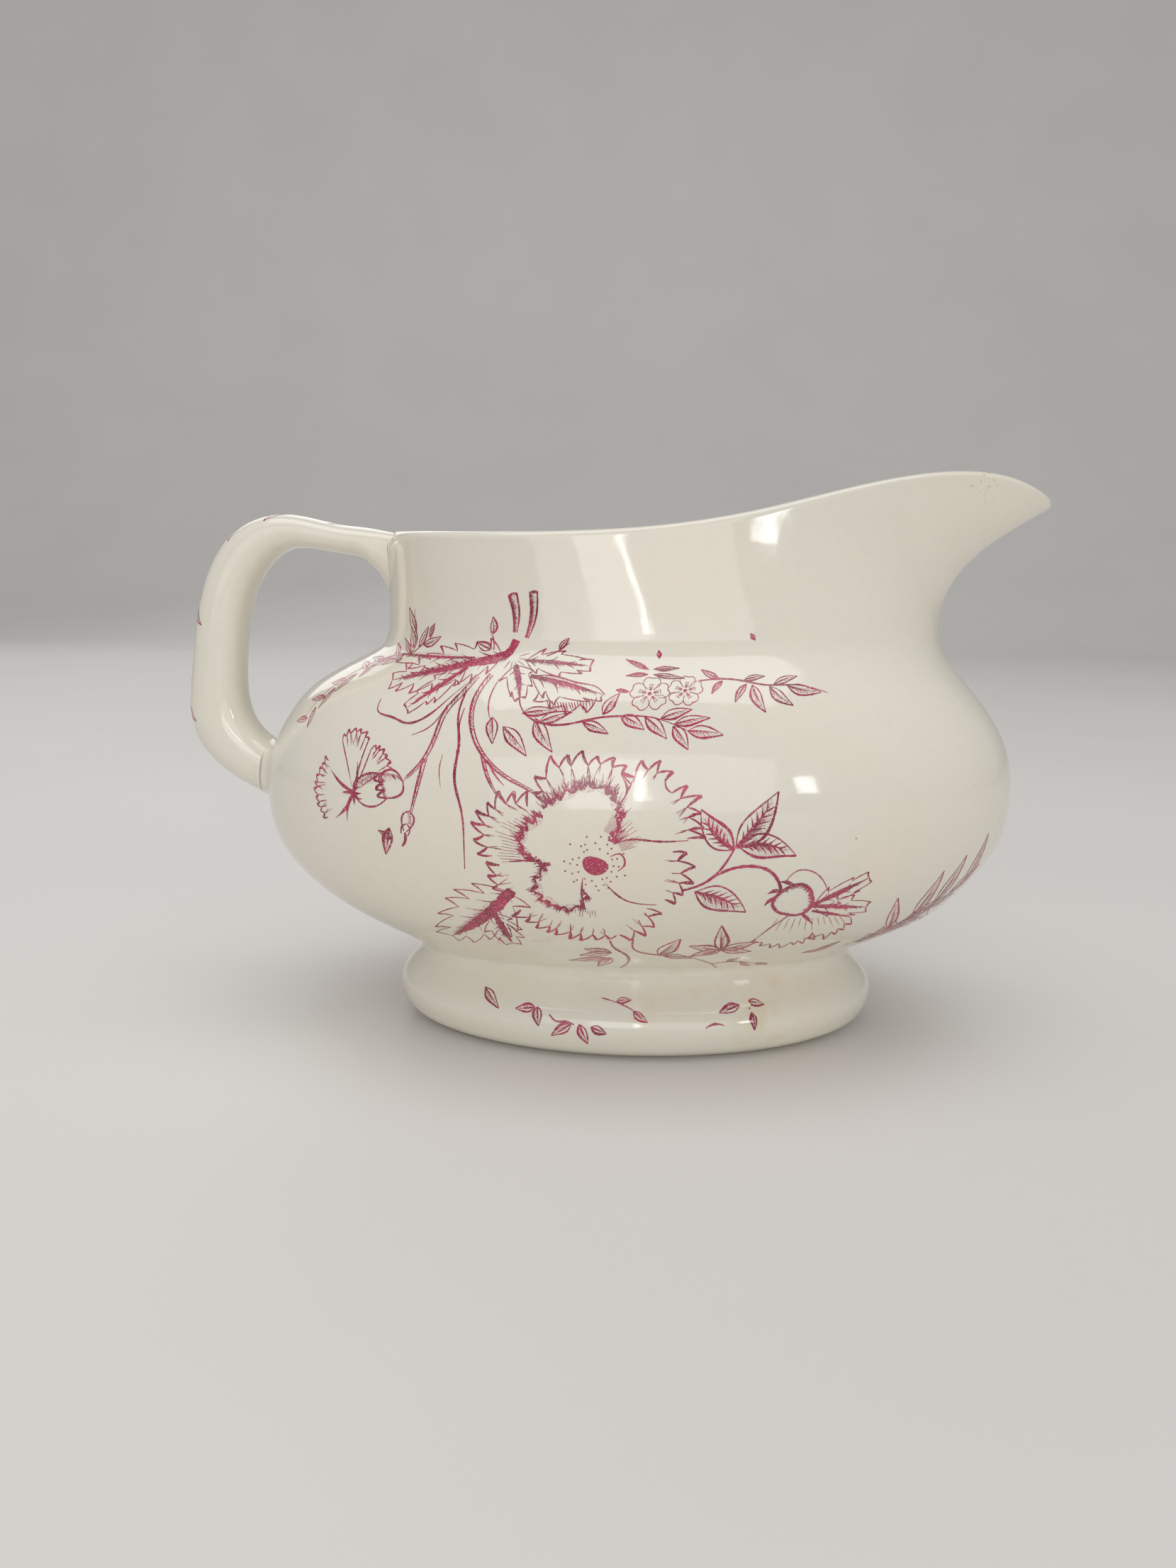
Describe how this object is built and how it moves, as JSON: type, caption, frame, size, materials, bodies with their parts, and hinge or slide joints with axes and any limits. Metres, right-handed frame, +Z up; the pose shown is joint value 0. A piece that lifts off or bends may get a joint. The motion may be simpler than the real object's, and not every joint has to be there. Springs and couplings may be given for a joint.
{
  "type": "cream jug",
  "caption": "Oval glazed ceramic cream jug with a squat belly, a waisted neck rising to a pointed pouring lip, a loop handle, a spreading oval foot and a crimson floral print.",
  "frame": {"origin": "on the table, under the centre of the whole jug's bounding box", "axes": "+X points to the tip of the pouring lip, the handle is on -X, +Y is the jug's left side seen from the handle, +Z is up"},
  "size_m": [0.2009, 0.108, 0.129],
  "materials": {
    "ivory_glaze": "glossy",
    "fired_slip": "glossy",
    "bare_foot_edge": "matt unglazed",
    "crimson_print": "glossy"
  },
  "bodies": {
    "root": {"bowl": "ivory_glaze", "foot_ring": "ivory_glaze", "handle": "ivory_glaze", "handle_panel": "ivory_glaze", "foot_slip_joint": "fired_slip", "handle_upper_slip_joint": "fired_slip", "handle_lower_slip_joint": "fired_slip"}
  },
  "joints": []
}
